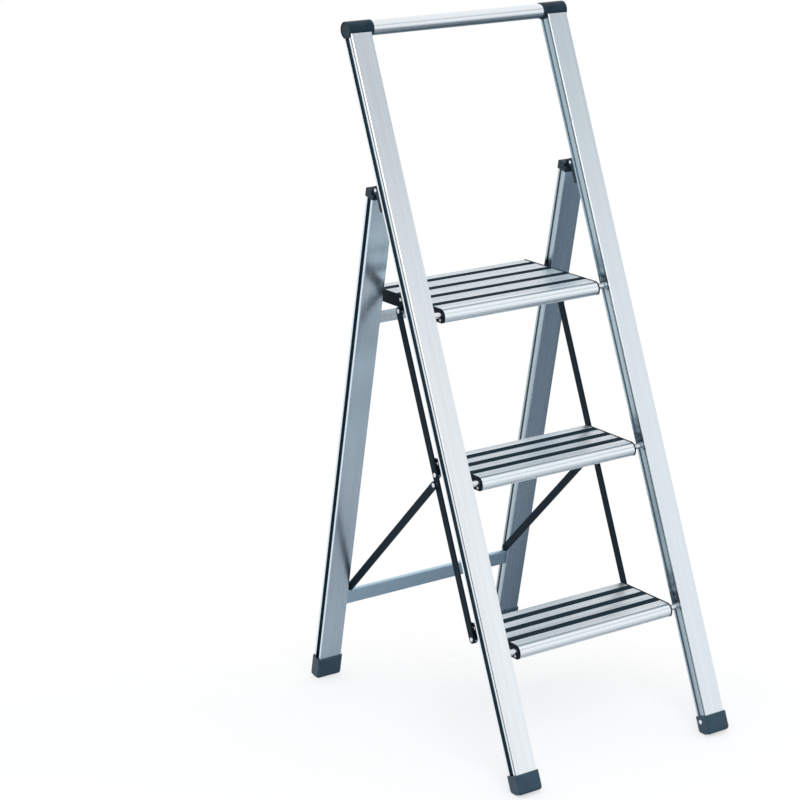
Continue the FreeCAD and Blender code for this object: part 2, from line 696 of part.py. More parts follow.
for side_name, side in SIDES:
    rail_x = rear_middle * side
    rail = new_body(f"rear_rail_{side_name}", shifted(rear_place, rail_x))
    pad(rail, f"rear_rail_{side_name}_extrusion", "XY_Plane", rear_rail_paths(side),
        S.rear_rail_start, rear_rail_top - S.rear_rail_start)
    edge = S.rear_rail_width / 2
    pivot_hole = [ring(S.strut_foot_setback, S.strut_foot_level, S.pivot_diameter)]
    cut(rail, f"rear_rail_{side_name}_pivot_hole", "YZ_Plane", pivot_hole,
        *across(-side, edge - S.strut_pivot_entry, edge + PAST))

    foot = new_body(f"rear_foot_{side_name}", shifted(rear_place, rail_x))
    foot_side = rear_foot_outline()
    foot_edge = edge + S.foot_wall
    pad(foot, f"rear_foot_{side_name}_block", "YZ_Plane", [foot_side], -foot_edge, foot_edge * 2)
    round_edges(foot, f"rear_foot_{side_name}_corners", S.foot_corner,
                lambda e: abs(e.tangentAt(e.FirstParameter).z) > 0.9)
    gap = S.running_fit
    socket = [box(-edge - gap, -gap, edge + gap, S.rear_rail_depth + gap)]
    cut(foot, f"rear_foot_{side_name}_socket", "XY_Plane", socket, S.rear_rail_start, S.rear_foot_top)
    rivet_y = S.rear_rail_depth / 2
    foot_hole = [ring(rivet_y, S.foot_rivet_level, S.screw_diameter)]
    cut(foot, f"rear_foot_{side_name}_hole", "YZ_Plane", foot_hole,
        *across(-side, edge - PAST, foot_edge + PAST))
    face = rear_inner - S.foot_wall
    rear_foot_rivets.append(turned(f"rear_foot_rivet_{side_name}", (rivet_y, S.foot_rivet_level), side, [
        (face - S.head_height, face, small_head, S.head_diameter),
        (face, rear_inner + S.foot_rivet_tail, S.screw_diameter),
    ]))

    cap = new_body(f"hinge_cap_{side_name}", rear_place)
    cap_wall = S.hinge_cap_wall
    pin_y = -S.rear_hinge_lead
    cap_front = -cap_wall
    cap_rear = S.rear_rail_depth + cap_wall
    step_y = pin_y + S.hinge_cap_back
    shoulder = rear_hinge_level - S.hinge_cap_shoulder
    skirt = rear_hinge_level - S.hinge_cap_skirt
    crown = rear_hinge_level - S.hinge_cap_fall
    soft = S.hinge_cap_corner
    cap_path = [
        (cap_front, skirt),
        (cap_rear, skirt),
        (cap_rear, crown - soft, cap_rear - soft, crown - soft),
        (cap_rear - soft, crown),
        (step_y, crown),
        (step_y, shoulder),
        (cap_front, shoulder),
    ]
    cap_span = across(side, rear_inner - cap_wall, half + cap_wall)
    pad(cap, f"hinge_cap_{side_name}_block", "YZ_Plane", [cap_path], *cap_span)
    tongue = S.tongue_radius
    tongue_path = [
        (pin_y, rear_hinge_level - tongue),
        (S.tongue_root, rear_hinge_level - tongue),
        (S.tongue_root, crown),
        (pin_y, rear_hinge_level + tongue, pin_y, rear_hinge_level),
    ]
    tongue_edge = S.front_rail_width / 2 - S.bracket_inset - S.bracket_plate - S.tongue_gap
    tongue_span = across(side, front_middle - tongue_edge, front_middle + tongue_edge)
    pad(cap, f"hinge_cap_{side_name}_tongue", "YZ_Plane", [tongue_path], *tongue_span)
    rail_mid = rear_middle * side
    cap_socket = [box(rail_mid - edge - gap, -gap, rail_mid + edge + gap, S.rear_rail_depth + gap)]
    cut(cap, f"hinge_cap_{side_name}_socket", "XY_Plane", cap_socket,
        skirt - PAST, rear_rail_top - skirt + PAST)
    bore = [ring(pin_y, rear_hinge_level, S.hinge_pin_diameter + S.running_fit * 2)]
    cut(cap, f"hinge_cap_{side_name}_bore", "YZ_Plane", bore,
        tongue_span[0] - PAST, tongue_span[1] + PAST * 2)

    pivot_face = strut_inner - S.side_play
    strut_pivots.append(turned(f"strut_pivot_{side_name}", (S.strut_foot_setback, S.strut_foot_level), side, [
        (pivot_face - S.head_height, pivot_face, small_head, S.head_diameter),
        (pivot_face, rear_inner + S.strut_pivot_entry, S.pivot_diameter),
        (strut_outer + S.side_play, rear_inner, S.head_diameter),
    ]))

group("rear_foot_rivets", rear_foot_rivets, rear_place)
group("strut_pivots", strut_pivots, rear_place)

# Crossbars


def crossbar(name, setback, bottom, top):
    body = new_body(name, rear_place)
    front, back = setback, setback + S.bar_depth
    outer = rounded(front, bottom, back, top, S.bar_corner)
    hollow = box(front + wall, bottom + wall, back - wall, top - wall)
    pad(body, f"{name}_extrusion", "YZ_Plane", [outer, hollow], -rear_inner, rear_inner * 2)


crossbar("lower_crossbar", S.lower_bar_setback, S.lower_bar_bottom, S.lower_bar_top)
crossbar("upper_crossbar", S.upper_bar_setback, S.upper_bar_bottom, S.upper_bar_top)

# Steps. Each is drawn level about the axis of its rod.

tread_top = S.step_rise
tread_under = -S.step_drop
nose = -S.nose_reach
nose_under = -S.nose_drop
lip_end = S.nose_lip + S.nose_drop - S.step_drop
web = S.screw_web
cell_top = tread_top - S.tread_top_wall
cell_under = tread_under + wall
nose_u = nose + S.nose_top_radius
nose_v = tread_top - S.nose_top_radius
cell_nose = nose + S.tread_top_wall
nose_cell_under = nose_under + wall


def nose_cell(gap):
    """The first hollow of a tread, around the rod, shrunk by a gap."""
    corner = S.nose_cell_corner
    left, under = cell_nose + gap, nose_cell_under + gap
    right, top = S.nose_cell_end - gap, cell_top - gap
    return [
        (cell_nose + corner, under),
        (right, under),
        (right, top),
        (nose_u, top, nose_u, nose_v),
        (left, nose_v),
        (left, nose_cell_under + corner, cell_nose + corner, nose_cell_under + corner),
    ]


def line_notches(first, count):
    """Fine grooves going forward from a first one."""
    notches = []
    for index in range(count):
        middle = first - S.rib_pitch * index
        notches.append((middle + S.rib_line / 2, middle - S.rib_line / 2, S.rib_depth))
    return notches


def make_step(step_name, reach, inset, pitch, strips, lines_between):
    level = step_levels[step_name]
    y, z = front_point(S.rod_setback, level)
    place = lean(y.number, z.number, 0)
    middles = [reach - inset - pitch * index for index in range(strips)]
    notches = line_notches(reach - S.rib_pitch, EDGE_LINES)
    for index, middle in enumerate(middles):
        notches.append((middle + S.strip_width / 2, middle - S.strip_width / 2, S.strip_depth))
        if index < strips - 1:
            band_middle = middle - pitch / 2
            notches += line_notches(band_middle + S.rib_pitch * ((lines_between - 1) / 2), lines_between)
    notches += line_notches(middles[-1] - S.strip_width / 2 - S.rib_pitch, EDGE_LINES)

    corner = S.tread_corner
    low = S.nose_bottom_radius
    outer = [
        (nose + low, nose_under),
        (S.nose_lip, nose_under),
        (lip_end, tread_under),
        (reach - corner, tread_under, reach - corner, tread_under + corner),
        (reach, tread_under + corner),
        (reach, tread_top - corner, reach - corner, tread_top - corner),
        (reach - corner, tread_top),
    ]
    for back, front, deep in notches:
        outer += [(back, tread_top), (back, tread_top - deep), (front, tread_top - deep), (front, tread_top)]
    outer += [
        (nose_u, tread_top, nose_u, nose_v),
        (nose, nose_v),
        (nose, nose_under + low, nose + low, nose_under + low),
    ]
    second = S.nose_cell_end + web
    rear_web = S.link_reach - web / 2
    third, last = rear_web + web, reach - wall
    cells = [nose_cell(0), box(second, cell_under, rear_web, cell_top)]
    if step_name == "top":
        split = (third + last) / 2
        cells.append(box(third, cell_under, split - wall / 2, cell_top))
        cells.append(box(split + wall / 2, cell_under, last, cell_top))
    else:
        cells.append(box(third, cell_under, last, cell_top))
    tread = new_body(f"tread_{step_name}", place)
    pad(tread, f"tread_{step_name}_extrusion", "YZ_Plane", [outer] + cells, -tread_half, tread_half * 2)
    screw_spots = [S.nose_cell_end + web / 2, S.link_reach]
    screw_holes = [ring(spot, S.screw_rise, S.screw_diameter) for spot in screw_spots]
    cut(tread, f"tread_{step_name}_holes_left", "YZ_Plane", screw_holes,
        -tread_half - PAST, S.screw_depth + PAST)
    cut(tread, f"tread_{step_name}_holes_right", "YZ_Plane", screw_holes,
        tread_half - S.screw_depth, S.screw_depth + PAST)

    bars = []
    for index, middle in enumerate(middles):
        bar = doc.addObject("Part::Box", f"strip_{step_name}_{index}")
        bind(bar, "Length", tread_half * 2 - S.loose_fit * 2)
        bind(bar, "Width", S.strip_width - S.loose_fit)
        bind(bar, "Height", S.strip_depth + S.strip_proud)
        bar.Placement = FreeCAD.Placement(
            FreeCAD.Vector(
                (S.loose_fit - tread_half).number,
                (middle - S.strip_width / 2 + S.loose_fit / 2).number,
                (tread_top - S.strip_depth).number,
            ),
            FreeCAD.Rotation(),
        )
        bars.append(bar)
    group(f"tread_strips_{step_name}", bars, place)

    rim = S.cap_rim
    pivot_u, pivot_v = S.link_reach, -S.link_drop
    lug = S.link_width / 2
    plate = [
        (nose - rim + low, nose_under),
        (S.nose_lip, nose_under),
        (lip_end, tread_under),
        (pivot_u - lug, tread_under),
        (pivot_u - lug, pivot_v, pivot_u, pivot_v),
        (pivot_u + lug, pivot_v),
        (pivot_u + lug, tread_under),
        (reach + rim - corner, tread_under, reach + rim - corner, tread_under + corner),
        (reach + rim, tread_under + corner),
        (reach + rim, tread_top + rim - corner, reach + rim - corner, tread_top + rim - corner),
        (reach + rim - corner, tread_top + rim),
        (nose_u, tread_top + rim, nose_u, nose_v),
        (nose - rim, nose_v),
        (nose - rim, nose_under + low, nose - rim + low, nose_under + low),
    ]
    rod_hole = ring(0, 0, S.rod_diameter + S.running_fit * 2)
    pin_hole = ring(pivot_u, pivot_v, S.pivot_diameter)
    plug_start = second + S.loose_fit
    plug_end = plug_start + S.second_plug_length
    cell_plug = box(plug_start, cell_under + S.loose_fit, plug_end, cell_top - S.loose_fit)
    head_face = link_outer + S.side_play
    screws = []
    pins = []
    for side_name, side in SIDES:
        cap = new_body(f"step_cap_{step_name}_{side_name}", place)
        cap_name = f"step_cap_{step_name}_{side_name}"
        pad(cap, f"{cap_name}_plate", "YZ_Plane", [plate], *across(side, tread_half, step_half))
        plug_span = across(side, tread_half - S.cap_plug, step_half - S.cap_plate / 2)
        pad(cap, f"{cap_name}_plug", "YZ_Plane", [nose_cell(S.loose_fit)], *plug_span)
        pad(cap, f"{cap_name}_second_plug", "YZ_Plane", [cell_plug], *plug_span)
        bore_span = across(side, tread_half - S.cap_plug - PAST, step_half + PAST)
        cut(cap, f"{cap_name}_rod_bore", "YZ_Plane", [rod_hole], *bore_span)
        cut(cap, f"{cap_name}_holes", "YZ_Plane", [pin_hole] + screw_holes, *bore_span)
        for index, spot in enumerate(screw_spots):
            screws.append(turned(f"cap_screw_{step_name}_{side_name}_{index}", (spot, S.screw_rise), side, [
                (tread_half - S.screw_depth + PAST, step_half, S.screw_diameter),
                (step_half, step_half + S.head_height, S.screw_head_diameter,
                 S.screw_head_diameter - S.head_taper),
            ]))
        pins.append(turned(f"link_pin_{step_name}_{side_name}", (pivot_u, pivot_v), side, [
            (tread_half - S.link_nut, tread_half, S.head_diameter),
            (tread_half, head_face, S.pivot_diameter),
            (step_half, link_inner - S.side_play, S.head_diameter),
            (head_face, head_face + S.head_height, S.head_diameter, small_head),
        ]))
    group(f"step_cap_screws_{step_name}", screws, place)
    group(f"link_pins_{step_name}", pins, place)


make_step("top", S.top_step_reach, S.top_strip_inset, S.top_strip_pitch, 4, 6)
make_step("middle", S.lower_step_reach, S.lower_strip_inset, S.lower_strip_pitch, 3, 4)
make_step("bottom", S.lower_step_reach, S.lower_strip_inset, S.lower_strip_pitch, 3, 4)

# Link bars, drawn along the front rails about the middle pivot, and the struts

rod_y, rod_z = front_point(S.rod_setback, step_levels["middle"])
link_y, link_z = rod_y + S.link_reach, rod_z - S.link_drop
link_place = lean(link_y.number, link_z.number, -S.front_tilt.number)
joint_y = link_y + S.strut_joint_setback * cos_front - S.strut_joint_drop * sin_front
joint_z = link_z - S.strut_joint_setback * sin_front - S.strut_joint_drop * cos_front
strut_y, strut_z = rear_point(S.strut_foot_setback, S.strut_foot_level)
rise_y, rise_z = joint_y - strut_y, joint_z - strut_z
strut_length = root(rise_y * rise_y + rise_z * rise_z)
strut_turn = math.degrees(math.atan2(-rise_y.number, rise_z.number))
strut_place = lean(strut_y.number, strut_z.number, strut_turn)


def stadium(radius, bottom, top):
    """A flat bar with round ends about two pivots, standing along Z."""
    return [
        (radius, bottom),
        (radius, top, 0, top),
        (-radius, top),
        (-radius, bottom, 0, bottom),
    ]


for side_name, side in SIDES:
    link = new_body(f"link_bar_{side_name}", link_place)
    link_holes = [
        ring(0, S.step_spacing * index, S.pivot_diameter + S.running_fit * 2) for index in (-1, 0, 1)
    ]
    joint_hole = ring(S.strut_joint_setback, -S.strut_joint_drop, S.pivot_diameter)
    link_path = stadium(S.link_width / 2, -S.step_spacing, S.step_spacing)
    pad(link, f"link_bar_{side_name}_flat", "YZ_Plane", [link_path, joint_hole] + link_holes,
        *across(side, link_inner, link_outer))
    stud = turned(f"strut_stud_{side_name}", (S.strut_joint_setback, -S.strut_joint_drop), side, [
        (link_inner - S.head_height, link_inner, small_head, S.head_diameter),
        (link_inner, link_outer, S.pivot_diameter),
        (link_outer, strut_inner - S.joint_split, S.head_diameter),
    ])
    stud.Label = f"strut_stud_{side_name}"
    stud.Placement = link_place
    nodes[stud.Label] = stud

    strut = new_body(f"strut_{side_name}", strut_place)
    strut_holes = [
        ring(0, 0, S.pivot_diameter + S.running_fit * 2),
        ring(0, strut_length, S.pivot_diameter),
    ]
    strut_path = stadium(S.strut_width / 2, dim(0), strut_length)
    pad(strut, f"strut_{side_name}_flat", "YZ_Plane", [strut_path] + strut_holes,
        *across(side, strut_inner, strut_outer))
    rivet = turned(f"strut_rivet_{side_name}", (0, strut_length), side, [
        (strut_inner, strut_outer, S.pivot_diameter),
        (strut_outer, strut_outer + S.head_height, S.head_diameter, small_head),
    ])
    rivet.Label = f"strut_rivet_{side_name}"
    rivet.Placement = strut_place
    nodes[rivet.Label] = rivet

# Checks and export

doc.recompute()
for item in doc.Objects:
    if "Invalid" in item.State or "Error" in item.State:
        raise RuntimeError(f"{item.Label} did not compute: {item.State}")
    if item.TypeId == "PartDesign::Pocket":
        before = item.BaseFeature.Shape.Volume
        if not item.Shape.Volume < before - 0.01:
            raise RuntimeError(f"{item.Label} removes nothing")
os.makedirs("parts", exist_ok=True)
for name, node in nodes.items():
    if node.Shape.isNull() or not node.Shape.isValid():
        raise RuntimeError(f"{name} has no valid shape")
    node.Shape.exportStep(f"parts/{name}.step")
print(len(nodes), "pieces")
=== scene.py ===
import math

import bmesh
import bpy
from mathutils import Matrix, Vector


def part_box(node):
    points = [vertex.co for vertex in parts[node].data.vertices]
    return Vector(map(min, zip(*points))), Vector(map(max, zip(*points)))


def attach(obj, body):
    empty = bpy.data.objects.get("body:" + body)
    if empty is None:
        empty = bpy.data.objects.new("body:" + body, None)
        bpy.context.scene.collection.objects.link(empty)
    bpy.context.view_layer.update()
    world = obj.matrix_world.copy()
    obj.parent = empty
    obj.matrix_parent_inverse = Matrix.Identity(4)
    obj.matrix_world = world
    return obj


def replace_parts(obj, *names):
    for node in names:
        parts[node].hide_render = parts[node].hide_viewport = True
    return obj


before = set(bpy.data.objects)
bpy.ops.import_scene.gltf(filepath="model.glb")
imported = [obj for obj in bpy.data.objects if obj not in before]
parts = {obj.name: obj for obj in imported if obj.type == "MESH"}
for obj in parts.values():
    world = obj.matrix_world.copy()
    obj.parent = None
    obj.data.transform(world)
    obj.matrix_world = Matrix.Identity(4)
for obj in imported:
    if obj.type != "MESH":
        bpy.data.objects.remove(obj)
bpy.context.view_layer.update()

# Metres, in the frame of the solids: Z up, the front of the ladder towards -Y.

scene = bpy.context.scene
STEPS = ("top", "middle", "bottom")
SIDES = (("left", -1), ("right", 1))
FRONT_TILT = math.radians(21.6)
REAR_TILT = math.radians(12.8)
STRIP_COUNTS = {"top": 4, "middle": 3, "bottom": 3}
STRIP_WIDTH = 0.0163
STRIP_RIBS = 5
STRIP_WELD = 0.00001
RIB_DEPTH = 0.0006
RIB_ROWS = 12
HEAD_RADIUS = 0.0042
HEAD_HEIGHT = 0.0015
HEAD_RIM_SHARE = 0.25
DOME_STEPS = 6
TURN_STEPS = 24
TURN_WELD = 0.000005
SHARP_ANGLE = math.radians(40)
PIN_RADIUS = 0.0025
RIVET_RADIUS = 0.0017
FOOT_RIVET_TAIL = 0.004
SCREW_HEAD_RADIUS = 0.0032
SCREW_TAIL = 0.003
CROSS_START = 0.0008
CROSS_WIDTH = 0.0013
CROSS_LENGTH = 0.0042
CROSS_DEPTH = 0.0006
HINGE_HEAD_RADIUS = 0.0032
NUT_LENGTH = 0.010
NUT_COLLAR = 0.003
COLLAR_RADIUS = 0.003
WASHER_RADIUS = 0.006
LUG_RIVET_RADIUS = 0.0018
LUG_RIVET_SHIFT = (-0.0051, -0.001)
LUG_RIVET_TAIL = 0.001
NOSE_SCREW_RADIUS = 0.0024
NOSE_SCREW_SHIFT = (0.001, -0.0093)
NOSE_SCREW_TAIL = 0.0015
THIN_SHANK = 0.001
END_FLOAT = 0.0002


def put(tree, kind, settings=None, values=None):
    """One node with its own settings and the fixed values of its inputs."""
    node = tree.nodes.new(kind)
    for key, value in (settings or {}).items():
        setattr(node, key, value)
    for key, value in (values or {}).items():
        node.inputs[key].default_value = value
    return node


def join(tree, *pairs):
    """Links given as (output, input) pairs."""
    for source, target in pairs:
        tree.links.new(source, target)


def reckon(tree, operation, *values):
    """A Math node over outputs and plain numbers."""
    node = put(tree, "ShaderNodeMath", {"operation": operation})
    for socket, value in zip(node.inputs, values):
        if isinstance(value, (int, float)):
            socket.default_value = value
        else:
            tree.links.new(value, socket)
    return node.outputs[0]


def spread(tree, value, low, high, out_low, out_high):
    """A clamped Map Range from low..high to out_low..out_high."""
    node = put(tree, "ShaderNodeMapRange", {"clamp": True}, {
        "From Min": low, "From Max": high, "To Min": out_low, "To Max": out_high,
    })
    tree.links.new(value, node.inputs["Value"])
    return node.outputs["Result"]


def blend(tree, factor, first, second):
    """A colour between two, each an output or a plain colour."""
    node = put(tree, "ShaderNodeMix", {"data_type": "RGBA"})
    for index, value in ((0, factor), (6, first), (7, second)):
        if isinstance(value, bpy.types.NodeSocket):
            tree.links.new(value, node.inputs[index])
        else:
            node.inputs[index].default_value = value if index == 0 else (*value, 1)
    return node.outputs[2]


def new_group(name, kind, inputs, outputs):
    """An empty node group, with its inputs and outputs given as (name, kind) pairs."""
    group = bpy.data.node_groups.new(name, kind)
    for in_out, sockets in (("INPUT", inputs), ("OUTPUT", outputs)):
        for label, socket_kind in sockets:
            group.interface.new_socket(label, in_out=in_out, socket_type=socket_kind)
    return group, group.nodes.new("NodeGroupInput").outputs, group.nodes.new("NodeGroupOutput").inputs


# Shared surface effects


def make_extrusion_lines():
    """Die lines along a bar whose length runs along Z: fine hairlines and broad soft streaks."""
    group, given, result = new_group("extrusion_lines", "ShaderNodeTree", [
        ("Vector", "NodeSocketVector"),
        ("Lines per metre", "NodeSocketFloat"),
        ("Run", "NodeSocketFloat"),
    ], [("Hairlines", "NodeSocketFloat"), ("Streaks", "NodeSocketFloat")])
    for label, across_share, run_share, detail in (("Hairlines", 1, 1, 3), ("Streaks", 0.16, 0.5, 1)):
        across = reckon(group, "MULTIPLY", given["Lines per metre"], across_share)
        run = reckon(group, "MULTIPLY", given["Run"], run_share)
        scale = put(group, "ShaderNodeCombineXYZ")
        stretch = put(group, "ShaderNodeVectorMath", {"operation": "MULTIPLY"})
        noise = put(group, "ShaderNodeTexNoise", None, {"Scale": 1, "Detail": detail, "Roughness": 0.55})
        join(group, (across, scale.inputs["X"]), (across, scale.inputs["Y"]), (run, scale.inputs["Z"]),
             (given["Vector"], stretch.inputs[0]), (scale.outputs[0], stretch.inputs[1]),
             (stretch.outputs[0], noise.inputs["Vector"]),
             (spread(group, noise.outputs["Fac"], 0.3, 0.7, 0, 1), result[label]))
    return group


def make_hollow_shade():
    """How open a place is, from 0 at the bottom of a channel to 1 on an open face."""
    group, given, result = new_group("hollow_shade", "ShaderNodeTree", [
        ("Reach", "NodeSocketFloat"),
    ], [("Open", "NodeSocketFloat")])
    hollow = put(group, "ShaderNodeAmbientOcclusion", {"samples": 8, "only_local": True})
    join(group, (given["Reach"], hollow.inputs["Distance"]),
         (spread(group, hollow.outputs["AO"], 0.55, 0.96, 0, 1), result["Open"]))
    return group


def make_soft_edge():
    """Rounded corners: a normal that turns over each edge, and a mask of the edge itself."""
    group, given, result = new_group("soft_edge", "ShaderNodeTree", [
        ("Radius", "NodeSocketFloat"),
    ], [("Normal", "NodeSocketVector"), ("Edge", "NodeSocketFloat")])
    rounded = put(group, "ShaderNodeBevel", {"samples": 6})
    surface = put(group, "ShaderNodeNewGeometry")
    agree = put(group, "ShaderNodeVectorMath", {"operation": "DOT_PRODUCT"})
    join(group, (given["Radius"], rounded.inputs["Radius"]),
         (rounded.outputs[0], agree.inputs[0]), (surface.outputs["Normal"], agree.inputs[1]),
         (rounded.outputs[0], result["Normal"]),
         (spread(group, agree.outputs["Value"], 0.9, 0.995, 1, 0), result["Edge"]))
    return group


def make_moulded_grain():
    """The fine eroded grain and faint clouding of a moulded, painted or plated surface."""
    group, given, result = new_group("moulded_grain", "ShaderNodeTree", [
        ("Vector", "NodeSocketVector"),
        ("Grain per metre", "NodeSocketFloat"),
        ("Clouds per metre", "NodeSocketFloat"),
    ], [("Grain", "NodeSocketFloat"), ("Clouds", "NodeSocketFloat")])
    for label, detail in (("Grain", 2), ("Clouds", 4)):
        noise = put(group, "ShaderNodeTexNoise", None, {"Detail": detail})
        join(group, (given["Vector"], noise.inputs["Vector"]),
             (given[f"{label} per metre"], noise.inputs["Scale"]),
             (spread(group, noise.outputs["Fac"], 0.3, 0.7, 0, 1), result[label]))
    return group


extrusion_lines = make_extrusion_lines()
hollow_shade = make_hollow_shade()
soft_edge = make_soft_edge()
moulded_grain = make_moulded_grain()


def use_group(tree, group, values=None):
    """A shared group in a material, with the fixed values of its inputs."""
    node = put(tree, "ShaderNodeGroup", {"node_tree": group})
    for key, value in (values or {}).items():
        node.inputs[key].default_value = value
    return node


# Finishes

ALONG_X = (0, math.pi / 2, 0)
ALONG_FRONT = (FRONT_TILT, 0, 0)
ALONG_REAR = (-REAR_TILT, 0, 0)
SATIN_LINES = 700
TREAD_LINES = 900
LINE_RUN = 2.5
LINE_RELIEF = 0.00006
GRAIN_RELIEF = 0.0001
PLASTIC_GRAIN = 1500
CORNER_RADIUS = 0.0006
# Painted highlight: the pale grey laid on the corners of the rails.
CORNER_HIGHLIGHT_GREY = (0.88, 0.91, 0.93)
CHANNEL_REACH = 0.016
TOP_SCATTER = 0.14
GROOVE_START = 0.0002
GROOVE_FULL = 0.0004
SHEEN_BLUE = (0.55, 0.78, 1, 1)
PALE_SHARE = 2.2
# Painted shade: the dark blue-grey laid deep in the channels of the rails.
CHANNEL_SHADE_BLUE = (0.07, 0.14, 0.18)
# Painted shade: darker greys for the inner sides of the rails.
INNER_SHADE_GREYS = ((0.30, 0.38, 0.43), (0.50, 0.58, 0.63))
# Painted shade: darker greys for the underside of the handle tube.
UNDER_SHADE_GREYS = ((0.14, 0.19, 0.23), (0.20, 0.26, 0.30))
UNDER_WAY = (0, -0.5, -0.866)
# Painted shade: darker greys for the tops of the treads.
TOP_SHADE_GREYS = ((0.66, 0.72, 0.76), (0.88, 0.92, 0.95))
# Painted shade: the grey laid in the grooves of the tread tops.
GROOVE_SHADE_GREY = (0.28, 0.35, 0.40)
# Painted shade: the right-hand rails take darker greys than the left, and the rear rails darker, bluer
# greys than the front.
FRONT_GREYS_SHADED_BY_SIDE = {
    "left": ((0.79, 0.83, 0.86), (0.88, 0.91, 0.925)),
    "right": ((0.72, 0.78, 0.82), (0.80, 0.85, 0.88)),
}
REAR_GREYS_SHADED_BY_SIDE = {
    "left": ((0.66, 0.77, 0.85), (0.74, 0.84, 0.92)),
    "right": ((0.57, 0.68, 0.76), (0.65, 0.75, 0.83)),
}
TREAD_GREYS = ((0.84, 0.90, 0.93), (0.91, 0.95, 0.97))
# Painted shade: the lower crossbar takes darker, bluer greys than the upper one.
LOWER_BAR_SHADED_GREYS = ((0.45, 0.61, 0.72), (0.54, 0.69, 0.80))
UPPER_BAR_GREYS = ((0.76, 0.82, 0.86), (0.84, 0.88, 0.91))
HANDLE_GREYS = ((0.80, 0.84, 0.87), (0.88, 0.91, 0.93))


def new_finish(name, metallic, specular, turn_by=(0, 0, 0)):
    """A material with its shader, and the object's own coordinates turned to suit a pattern."""
    finish = bpy.data.materials.new(name)
    finish.use_nodes = True
    tree = finish.node_tree
    shader = tree.nodes["Principled BSDF"].inputs
    shader["Metallic"].default_value = metallic
    shader["Specular IOR Level"].default_value = specular
    place = put(tree, "ShaderNodeTexCoord")
    turn = put(tree, "ShaderNodeMapping", None, {"Rotation": turn_by})
    join(tree, (place.outputs["Object"], turn.inputs["Vector"]))
    return finish, tree, shader, turn.outputs[0]


def add_relief(tree, shader, height, strength, depth, base_normal=None):
    """A bump, over a base normal where one is given."""
    bump = put(tree, "ShaderNodeBump", None, {"Strength": strength, "Distance": depth})
    join(tree, (height, bump.inputs["Height"]), (bump.outputs["Normal"], shader["Normal"]))
    if base_normal:
        join(tree, (base_normal, bump.inputs["Normal"]))


def faces_towards(tree, way):
    """A mask of the faces turned towards one of the object's own directions."""
    surface = put(tree, "ShaderNodeNewGeometry")
    own = put(tree, "ShaderNodeVectorTransform",
              {"vector_type": "NORMAL", "convert_from": "WORLD", "convert_to": "OBJECT"})
    agree = put(tree, "ShaderNodeVectorMath", {"operation": "DOT_PRODUCT"})
    agree.inputs[1].default_value = way
    join(tree, (surface.outputs["Normal"], own.inputs[0]), (own.outputs[0], agree.inputs[0]))
    return spread(tree, agree.outputs["Value"], 0.8, 0.95, 0, 1)


def sunk_below(tree, level):
    """A mask of the places that lie below a level, by the object's own height."""
    place = put(tree, "ShaderNodeTexCoord")
    split = put(tree, "ShaderNodeSeparateXYZ")
    join(tree, (place.outputs["Object"], split.inputs[0]))
    return spread(tree, split.outputs["Z"], level - GROOVE_FULL, level - GROOVE_START, 1, 0)


def make_aluminium(name, turn_by, greys, roughness, lines=SATIN_LINES, side_shade=None, channel=False, top=None):
    """Satin anodised extrusion with hairlines along its length. A side with painted shade is given as a
    direction and two greys. A rail, which has one, also has painted shade deep in its channels and a
    painted highlight on its corners. A tread, whose side with painted shade is its top at a level, is
    rougher there and has painted shade in its grooves."""
    finish, tree, shader, place = new_finish(name, 1, 0.5, turn_by)
    die = use_group(tree, extrusion_lines, {"Lines per metre": lines, "Run": LINE_RUN})
    join(tree, (place, die.inputs["Vector"]))
    lines_mixed = reckon(tree, "ADD", reckon(tree, "MULTIPLY", die.outputs["Hairlines"], 0.5),
                         reckon(tree, "MULTIPLY", die.outputs["Streaks"], 0.5))
    tone = blend(tree, lines_mixed, *greys)
    sheen = spread(tree, die.outputs["Hairlines"], 0, 1, roughness - 0.03, roughness + 0.04)
    base_normal = None
    # Painted shade: the faces turned one way take their own greys.
    if side_shade:
        way, side_shade_greys = side_shade
        side_shade_mask = faces_towards(tree, way)
        tone = blend(tree, side_shade_mask, tone, blend(tree, die.outputs["Streaks"], *side_shade_greys))
    # Painted shade in the channels, where the occlusion finds a place closed in, and a painted highlight on
    # the corners.
    if channel:
        channel_shade = blend(tree, side_shade_mask, CHANNEL_SHADE_BLUE, side_shade_greys[0])
        edge = use_group(tree, soft_edge, {"Radius": CORNER_RADIUS})
        hollow = use_group(tree, hollow_shade, {"Reach": CHANNEL_REACH})
        paled_corners = blend(tree, reckon(tree, "MULTIPLY", edge.outputs["Edge"], 0.5), tone, CORNER_HIGHLIGHT_GREY)
        tone = blend(tree, hollow.outputs["Open"], channel_shade, paled_corners)
        base_normal = edge.outputs["Normal"]
    # The top is rougher; painted shade in the grooves below its level.
    if top is not None:
        sheen = reckon(tree, "MULTIPLY_ADD", side_shade_mask, TOP_SCATTER, sheen)
        groove_shade = reckon(tree, "MULTIPLY", sunk_below(tree, top), side_shade_mask)
        tone = blend(tree, groove_shade, tone, GROOVE_SHADE_GREY)
    join(tree, (tone, shader["Base Color"]), (sheen, shader["Roughness"]))
    add_relief(tree, shader, die.outputs["Hairlines"], 0.06, LINE_RELIEF, base_normal)
    return finish


